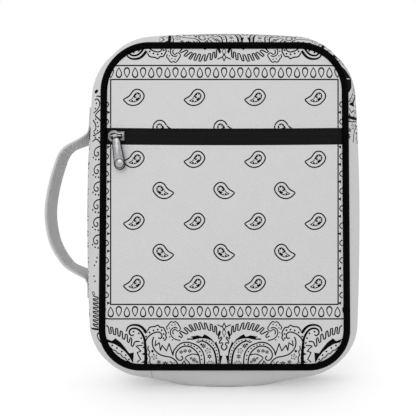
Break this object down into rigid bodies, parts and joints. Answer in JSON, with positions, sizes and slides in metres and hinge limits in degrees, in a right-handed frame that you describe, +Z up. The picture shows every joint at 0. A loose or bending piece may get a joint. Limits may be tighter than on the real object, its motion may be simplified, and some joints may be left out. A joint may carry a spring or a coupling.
{
  "type": "bible bag",
  "caption": "Soft zip-round book bag with rounded corners, piped edges, a zipped front pocket with a hanging pull, and a carrying handle on its spine.",
  "frame": {"origin": "middle of the flat patch of the bottom gusset that the bag stands on", "axes": "+Z up, the front with the pocket faces -Y, the spine with the handle is at -X"},
  "size_m": [0.2635, 0.0747, 0.2922],
  "materials": {
    "printed_cloth": "matt woven cotton, pale grey with a black border and paisley print",
    "plain_cloth": "matt woven cotton, plain pale grey",
    "black_piping": "matt black woven piping",
    "zip_tape": "matt black ribbed polyester zip tape",
    "slider_metal": "worn gunmetal plated zinc"
  },
  "bodies": {
    "bag": {"front_top_panel": "printed_cloth", "pocket_panel": "printed_cloth", "pocket_zip_tape": "zip_tape", "pocket_zip_slider": "slider_metal", "pocket_back_wall": "plain_cloth", "front_piping": "black_piping", "gusset_front_band": "printed_cloth", "gusset_back_band": "plain_cloth", "main_zip_tape": "zip_tape", "main_zip_slider": "slider_metal", "spine_panel": "printed_cloth", "handle_strap": "plain_cloth", "back_piping": "black_piping", "back_panel": "printed_cloth"},
    "pull": {"pocket_zip_pull": "slider_metal"}
  },
  "joints": [
    {"name": "pull_swing", "type": "hinge", "parent": "bag", "child": "pull", "pos_m": [-0.08528, -0.03663, 0.2028], "axis": [-0.994, 0.1092, 0], "range_deg": [-5, 185]}
  ]
}
